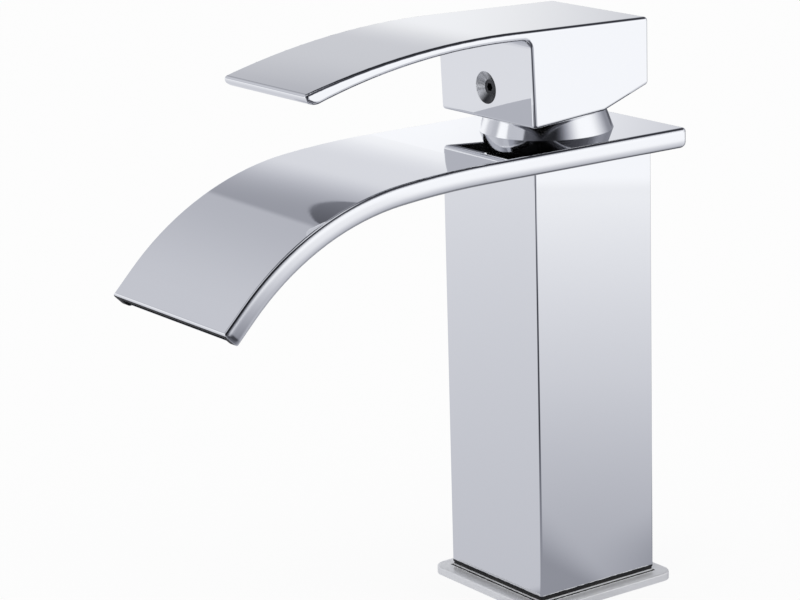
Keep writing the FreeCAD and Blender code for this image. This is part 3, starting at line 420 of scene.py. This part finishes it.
def make_materials():
    """The materials by the record's slot names."""
    return {
        "chrome": make_chrome(),
        "black_rubber": make_rubber(),
        "alumina": make_ceramic(),
        "grey_plastic": make_plastic(
            "grey_plastic", colour(0.36, 0.37, 0.39), colour(0.44, 0.45, 0.47)
        ),
        "white_plastic": make_plastic(
            "white_plastic", colour(0.78, 0.78, 0.74), colour(0.86, 0.86, 0.83)
        ),
        "brass": make_turned(
            "turned_brass", colour(0.62, 0.46, 0.20), colour(0.78, 0.62, 0.32), 2600.0, 0.28
        ),
        "steel": make_turned(
            "turned_steel", colour(0.44, 0.45, 0.47), colour(0.58, 0.59, 0.61), 2600.0, 0.30
        ),
        "zinc_steel": make_turned(
            "zinc_plated_steel", colour(0.55, 0.56, 0.55), colour(0.70, 0.70, 0.66), 1600.0, 0.38,
            axis_x=STUD_SPACING / 2, axis_y=STUD_BACK,
        ),
    }


def dress_nodes(materials):
    """Gives each node its slot's material, or one of its own."""
    special = {
        "handle": make_handle_chrome(),
        "spout_shell": make_channel_chrome(),
        "base_plate": make_plate_chrome(),
        "body_column": make_column_chrome(),
        "collar": make_chrome("collar_chrome", dull=0.10),
        "handle_set_screw": make_turned(
            "black_oxide_steel", colour(0.030, 0.030, 0.032), colour(0.075, 0.075, 0.080),
            2600.0, 0.34,
        ),
    }
    for row in frame["record"]["subparts"]:
        name = row["node"]
        mesh = frame["nodes"][name].data
        mesh.materials.clear()
        mesh.materials.append(special.get(name, materials[row["material_slot"]]))


# ------------------------------------------------------------------ threads and nuts

def tooth(angle, height):
    """How far a thread's flank is below its crest, from 0 to 1, on a helix of one pitch."""
    phase = (height / PITCH - angle / (2 * math.pi)) % 1.0
    return abs(2 * phase - 1)


def skin(rings, closed):
    """Points and faces of a surface through rings that have as many points each."""
    count = len(rings[0])
    points = [point for ring in rings for point in ring]
    faces = []
    last = len(rings) if closed else len(rings) - 1
    for row in range(last):
        above = (row + 1) % len(rings)
        for turn in range(count):
            after = (turn + 1) % count
            faces.append((
                row * count + turn, row * count + after, above * count + after, above * count + turn
            ))
    if not closed:
        faces.append(tuple(reversed(range(count))))
        faces.append(tuple((len(rings) - 1) * count + turn for turn in range(count)))
    return points, faces


def ring_points(centre, height, radius_at, count):
    angles = [2 * math.pi * turn / count for turn in range(count)]
    return [
        (centre[0] + radius_at(a) * math.cos(a), centre[1] + radius_at(a) * math.sin(a), height)
        for a in angles
    ]


def add_piece(name, parts, material):
    """Makes one object of several (points, faces) parts and lets it ride on the faucet."""
    points = []
    faces = []
    for part_points, part_faces in parts:
        start = len(points)
        points.extend(part_points)
        faces.extend(tuple(start + index for index in face) for face in part_faces)
    mesh = bpy.data.meshes.new(name)
    mesh.from_pydata(points, [], faces)
    mesh.materials.append(material)
    piece = bpy.data.objects.new(name, mesh)
    bpy.context.scene.collection.objects.link(piece)
    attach(piece, ROOT)
    return piece


def stud_part(side, low, high):
    """A stud whose thread runs over its whole length, with chamfered ends."""
    centre = (side * STUD_SPACING / 2, STUD_BACK)
    rows = round((high - low) / PITCH * ROWS_PER_PITCH)
    chamfer = TOOTH * 1.2
    rings = []
    for row in range(rows + 1):
        height = low + (high - low) * row / rows
        end = min(height - low, high - height)
        blunt = STUD_RADIUS - max(0.0, chamfer - end)

        def radius_at(angle, height=height, blunt=blunt):
            return min(STUD_RADIUS - TOOTH * tooth(angle, height), blunt)

        rings.append(ring_points(centre, height, radius_at, STUD_POINTS))
    return skin(rings, closed=False)


def hexagon_radius(angle):
    """The distance from a nut's axis to its side, with two corners on the X axis."""
    sixth = math.pi / 3
    return NUT_FLATS / 2 / math.cos((angle % sixth) - sixth / 2)


def nut_part(side, low, high):
    """A hexagonal nut whose corners are turned off at both faces, round a plain bore."""
    centre = (side * STUD_SPACING / 2, STUD_BACK)
    clearance = 0.02 * MM
    bore = STUD_RADIUS + clearance
    mouth = 0.4 * MM
    face = NUT_FLATS / 2 * 0.96
    slope = math.tan(math.radians(60))
    depths = [0.0, 0.15 * MM, 0.3 * MM, 0.5 * MM, 0.8 * MM]
    levels = [low + depth for depth in depths] + [high - depth for depth in reversed(depths)]

    def ring(level, radius_at):
        return ring_points(centre, level, radius_at, NUT_POINTS)

    rings = [ring(low, lambda angle: bore + mouth)]
    for level in levels:
        cone = face + min(level - low, high - level) * slope
        rings.append(ring(level, lambda angle, cone=cone: min(hexagon_radius(angle), cone)))
    rings.append(ring(high, lambda angle: bore + mouth))
    rings.append(ring(high - mouth, lambda angle: bore))
    rings.append(ring(low + mouth, lambda angle: bore))
    return skin(rings, closed=True)


def add_threads(materials):
    """Puts threaded studs and chamfered nuts in the place of the plain ones."""
    low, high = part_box("mounting_studs")
    parts = [stud_part(side, low[2], high[2]) for side in (-1, 1)]
    studs = add_piece("threaded_studs", parts, materials["zinc_steel"])
    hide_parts("mounting_studs")
    low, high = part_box("stud_nuts")
    parts = [nut_part(side, low[2], high[2]) for side in (-1, 1)]
    nuts = add_piece("chamfered_nuts", parts, materials["brass"])
    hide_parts("stud_nuts")


# ------------------------------------------------------------------ stage and light

WHITE = colour(1.0, 1.0, 1.0)
PLAIN_LIGHT = colour(0.88, 0.88, 0.88)

# Where the middles of what the chrome mirrors are, in degrees anticlockwise from the X axis
RIGHT_PANEL = 35
LEFT_PANEL = 180
CEILING_PANEL = -112
RIGHT_FLOOR = 35
LEFT_FLOOR = -144
FAR_FLOOR = 30

# The middle of the painted shadow pool on the floor, behind the faucet
POOL = (-14 * MM, 84 * MM, 0.0)


def tone(t, level):
    """White at full level, and a cooler grey the darker it gets."""
    tint = t.blend(level, colour(0.80, 0.83, 1.0), colour(0.965, 0.975, 1.0))
    return t.node("ShaderNodeVectorMath", {0: tint, 3: level}, operation="SCALE").outputs[0]


def turn_from(t, x, y, azimuth):
    """Degrees from an azimuth to the direction of (x, y), anticlockwise seen from above."""
    c = math.cos(math.radians(azimuth))
    s = math.sin(math.radians(azimuth))
    ahead = t.maths("ADD", t.product(x, c), t.product(y, s))
    aside = t.maths("SUBTRACT", t.product(y, c), t.product(x, s))
    return t.product(t.maths("ARCTAN2", aside, ahead), DEGREES)


def mirrored_rays(t):
    """1 for rays that left a shiny or a clear surface."""
    rays = t.node("ShaderNodeLightPath").outputs
    return t.highest(rays["Is Glossy Ray"], rays["Is Transmission Ray"])


def camera_rays(t):
    return t.node("ShaderNodeLightPath").outputs["Is Camera Ray"]


def right_panel_level(t, x, y, rise):
    """The panel on the right, which fades towards both ends and upwards."""
    turn = turn_from(t, x, y, RIGHT_PANEL)
    return t.product(
        1.1, t.step(turn, -58, -5, 0.02, 1.0), t.step(turn, 12, 70, 1.0, 0.26),
        t.step(rise, 24, 42, 1.0, 0.06),
    )


def dark_bar(t, turn, rise):
    """1 on a thin bar that rises by half a degree for each degree that it turns."""
    height = t.maths("SUBTRACT", rise, t.product(t.maths("ADD", turn, 180), 0.505))
    return t.product(
        t.step(height, -50.15, -49.95), t.step(height, -49.50, -49.35, 1.0, 0.0),
        t.step(turn, -27, -22), t.step(turn, -14.5, -13.5, 1.0, 0.0),
    )


def left_panel_level(t, x, y, rise):
    """The panel on the left. Its rear part fades upwards behind a thin dark bar, its front part
    is an even grey, and a brighter window follows on that."""
    turn = turn_from(t, x, y, LEFT_PANEL)
    rear = t.maths("ADD", t.step(rise, 10, 17, 1.08, 0.80), t.step(rise, 20, 33, 0.0, -0.40))
    rear = t.product(rear, t.step(turn, -48, -36, 0.30, 1.0))
    upper = t.product(0.70, t.step(turn, -12, 22, 0.80, 0.97), t.step(turn, 24, 36, 1.0, 0.86))
    front = t.step(rise, 4, 9, 1.05, upper)
    window = t.product(
        1.1, t.step(turn, 36, 50), t.step(turn, 66, 96, 1.0, 0.18), t.step(rise, 20, 34, 1.0, 0.45)
    )
    level = t.highest(t.between(t.step(turn, -13.5, -11.5), rear, front), window)
    end = t.product(t.step(turn, 70, 98, 1.0, 0.20), t.step(turn, 112, 136, 1.0, 0.10))
    top = t.step(rise, 38, 54, 1.0, 0.06)
    return t.product(level, end, top, t.between(dark_bar(t, turn, rise), 1.0, 0.15))


def ceiling_level(t, x, y, rise):
    """Two panels in the ceiling: one straight above and one high in front of the spout."""
    above = t.step(rise, 70, 80, 0.0, 0.75)
    turn = t.maths("ABSOLUTE", turn_from(t, x, y, CEILING_PANEL))
    ahead = t.product(0.70, t.step(turn, 14, 38, 1.0, 0.0), t.step(rise, 43, 54))
    return t.highest(above, ahead)


def make_world():
    """A plain white world whose mirror image is a tent: a bright panel on either side of the
    object, two in the ceiling, and almost black between them."""
    world = bpy.data.worlds.new("light_tent")
    bpy.context.scene.world = world
    t = Tree(world)
    x, y, z = t.split(t.node("ShaderNodeTexCoord").outputs["Generated"])
    rise = t.product(t.maths("ARCSINE", z), DEGREES)
    panels = (right_panel_level, left_panel_level, ceiling_level)
    level = t.highest(*[panel(t, x, y, rise) for panel in panels], 0.02)
    shade = t.blend(mirrored_rays(t), PLAIN_LIGHT, tone(t, level))
    shade = t.blend(camera_rays(t), shade, WHITE)
    surface = t.node("ShaderNodeBackground", {"Color": shade, "Strength": 1.0}).outputs[0]
    t.finish(surface, "ShaderNodeOutputWorld")


def right_floor_level(t, x, y, away):
    """The floor to the right rear: brighter with the distance, and darker to either side."""
    turn = turn_from(t, x, y, RIGHT_FLOOR)
    side = t.product(t.step(turn, -31, -12, 0.04, 1.0), t.step(turn, 34, 75, 1.0, 0.12))
    side = t.between(t.step(away, 20 * MM, 280 * MM, 0.30, 1.0), 1.0, side)
    level = t.step(away, 0.0, 270 * MM, 0.46, 0.73, smooth=False)
    level = t.maths("ADD", level, t.step(away, 270 * MM, 600 * MM, 0.0, 0.24, smooth=False))
    level = t.maths("ADD", level, t.step(away, 620 * MM, 660 * MM, 0.0, 0.10))
    return t.product(side, level)


def left_floor_level(t, x, y, away):
    """The floor to the left front, which does the same."""
    turn = turn_from(t, x, y, LEFT_FLOOR)
    side = t.product(t.step(turn, 60, 88, 1.0, 0.10), t.step(turn, -76, -48, 0.15, 1.0))
    return t.product(side, t.step(away, 0.0, 700 * MM, 0.63, 0.84, smooth=False))


def far_floor_level(t, x, y, away):
    """The floor far out on the right, for the faucet's right-hand side."""
    turn = t.maths("ABSOLUTE", turn_from(t, x, y, FAR_FLOOR))
    return t.product(t.step(away, 350 * MM, 620 * MM, 0.0, 0.55), t.step(turn, 45, 65, 1.0, 0.0))


def floor_level(t):
    """How bright the floor looks in the chrome, as painted light: dark in a painted shadow pool
    behind the object and towards the camera, and brighter on both sides."""
    place = t.place()
    x, y, _ = t.split(place)
    away = t.node("ShaderNodeVectorMath", {0: place}, operation="LENGTH").outputs["Value"]
    gap = t.node("ShaderNodeVectorMath", {0: place, 1: POOL}, operation="DISTANCE")
    pool = t.step(gap.outputs["Value"], 20 * MM, 96 * MM, 0.12, 1.0)
    areas = (right_floor_level, left_floor_level, far_floor_level)
    return t.product(pool, t.highest(*[area(t, x, y, away) for area in areas]))


def make_floor():
    """A wide floor just under the deck's level. It is white for the camera, with the object's
    shadow, and the chrome mirrors it as floor_level says."""
    half = 6.0
    below_deck = 0.1 * MM
    corners = [(-half, -half, 0), (half, -half, 0), (half, half, 0), (-half, half, 0)]
    mesh = bpy.data.meshes.new("floor")
    mesh.from_pydata(corners, [], [(0, 1, 2, 3)])
    floor = bpy.data.objects.new("floor", mesh)
    bpy.context.scene.collection.objects.link(floor)
    floor.location.z = -below_deck
    material, t = new_material("white_sweep")
    matt = t.node("ShaderNodeBsdfDiffuse", {"Color": colour(0.9, 0.9, 0.9)}).outputs[0]
    glow = t.node("ShaderNodeEmission", {"Color": WHITE, "Strength": 1.0}).outputs[0]
    seen = t.mix(0.90, matt, glow)
    shade = tone(t, floor_level(t))
    mirrored = t.node("ShaderNodeEmission", {"Color": shade, "Strength": 1.0}).outputs[0]
    surface = t.mix(mirrored_rays(t), matt, mirrored)
    t.finish(t.mix(camera_rays(t), surface, seen))
    floor.data.materials.append(material)


def add_panel(name, azimuth, elevation, distance, width, height, power):
    """A soft lamp that faces the object's middle and isn't seen in the chrome."""
    middle = Vector((0, 0, 100 * MM))
    lamp = bpy.data.lights.new(name, "AREA")
    lamp.shape = "RECTANGLE"
    lamp.size = width
    lamp.size_y = height
    lamp.energy = power
    holder = bpy.data.objects.new(name, lamp)
    holder.visible_glossy = False
    bpy.context.scene.collection.objects.link(holder)
    a = math.radians(azimuth)
    e = math.radians(elevation)
    back = Vector((math.cos(a) * math.cos(e), math.sin(a) * math.cos(e), math.sin(e)))
    holder.location = middle + back * distance
    holder.rotation_euler = back.to_track_quat("Z", "Y").to_euler()


def make_camera():
    """The photograph's camera, found from the edges of the column and the spout."""
    azimuth = math.radians(54.299)
    elevation = math.radians(14.858)
    roll = math.radians(-1.639)
    distance = 937.478 * MM
    aim_right = -48.776 * MM
    aim_height = 97.139 * MM
    sensor_width = 36.0
    lens = 128.464
    level_back = Vector((math.sin(azimuth), -math.cos(azimuth), 0))
    back = level_back * math.cos(elevation) + Vector((0, 0, math.sin(elevation)))
    right = Vector((math.cos(azimuth), math.sin(azimuth), 0))
    up = back.cross(right)
    place = right * aim_right + Vector((0, 0, aim_height)) + back * distance
    turned_right = right * math.cos(roll) + up * math.sin(roll)
    turned_up = up * math.cos(roll) - right * math.sin(roll)
    camera = bpy.data.cameras.new("camera")
    camera.sensor_width = sensor_width
    camera.lens = lens
    camera.clip_start = 0.05
    camera.clip_end = 50
    holder = bpy.data.objects.new("camera", camera)
    bpy.context.scene.collection.objects.link(holder)
    rotation = Matrix((turned_right, turned_up, back)).transposed()
    holder.matrix_world = Matrix.Translation(place) @ rotation.to_4x4()
    bpy.context.scene.camera = holder


make_world()
make_floor()
add_panel("right_panel", azimuth=38, elevation=24, distance=1.5, width=0.7, height=0.5, power=1.1)
add_panel("left_panel", azimuth=-125, elevation=18, distance=1.5, width=0.7, height=0.5, power=1.1)
make_camera()
slot_materials = make_materials()
dress_nodes(slot_materials)
add_threads(slot_materials)
bpy.context.scene.view_settings.view_transform = "Standard"
